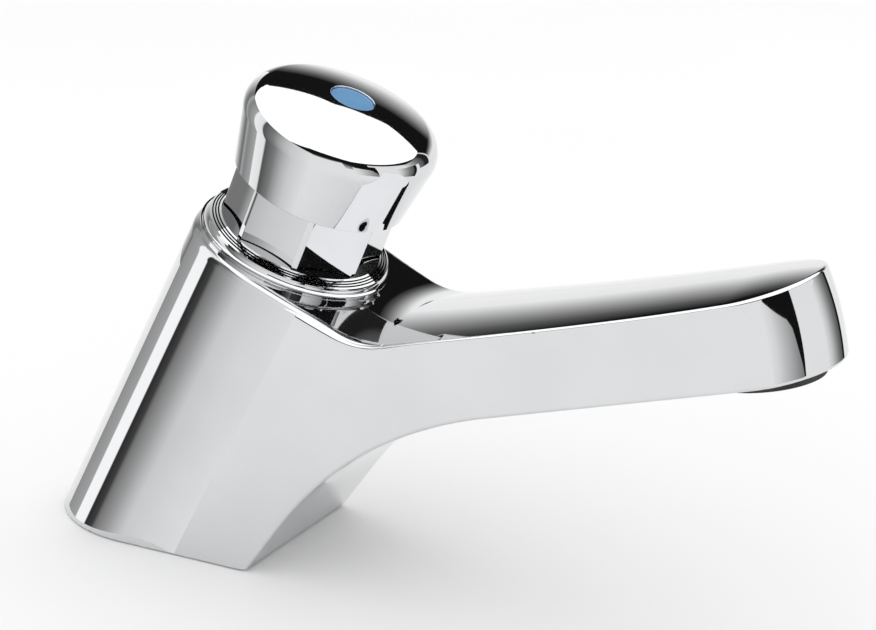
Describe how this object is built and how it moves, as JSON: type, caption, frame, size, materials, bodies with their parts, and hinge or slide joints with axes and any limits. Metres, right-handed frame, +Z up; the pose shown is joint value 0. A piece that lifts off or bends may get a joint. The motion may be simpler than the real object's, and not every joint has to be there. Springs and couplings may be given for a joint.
{
  "type": "push timed tap",
  "caption": "Chrome push-operated self-closing basin tap: leaning round column, flat-sided rising spout, octagonal bonnet and a flared push cap on a sprung timing cartridge.",
  "frame": {"origin": "on the underside, in the deck plane, at the foot of the round column's axis", "axes": "+Z up, +X along the spout toward the nose, +Y to the left seen from behind; y = 0 is the mirror plane"},
  "size_m": [0.183, 0.046, 0.1075],
  "materials": {
    "chrome_body": "polished chrome plate",
    "chrome_trim": "polished chrome plate, turned",
    "chrome_cap": "polished chrome plate",
    "blue_disc": "gloss blue",
    "rubber": "black",
    "white_plastic": "white acetal",
    "green_plastic": "green",
    "dark_plastic": "dark grey",
    "brass": "machined",
    "steel": "stainless, plain"
  },
  "bodies": {
    "tap": {"tap_body": "chrome_body", "collar_ring": "chrome_trim", "bonnet": "chrome_trim", "base_gasket": "rubber", "seat_seal": "rubber", "bonnet_seal": "rubber", "stem_seal": "rubber", "aerator_gasket": "rubber", "timing_sleeve": "white_plastic", "stem_bush": "white_plastic", "aerator_insert": "white_plastic", "flow_regulator": "green_plastic", "aerator_housing": "dark_plastic", "valve_seat": "brass", "bush_clip": "steel", "return_spring": "steel", "inlet_strainer": "steel", "aerator_screen": "steel"},
    "button": {"push_cap": "chrome_cap", "index_disc": "blue_disc", "cap_screw": "steel", "stem": "steel", "piston": "white_plastic", "piston_seal": "rubber", "timing_jet": "brass", "valve_head": "brass", "valve_washer": "rubber", "valve_nut": "steel"}
  },
  "joints": [
    {"name": "button_push", "type": "slide", "parent": "tap", "child": "button", "axis": [-0.3827, 0, -0.9239], "range_m": [0, 0.008], "stiffness_N_per_m": 1500, "springref_m": -0.008, "deforming": ["return_spring"]}
  ]
}
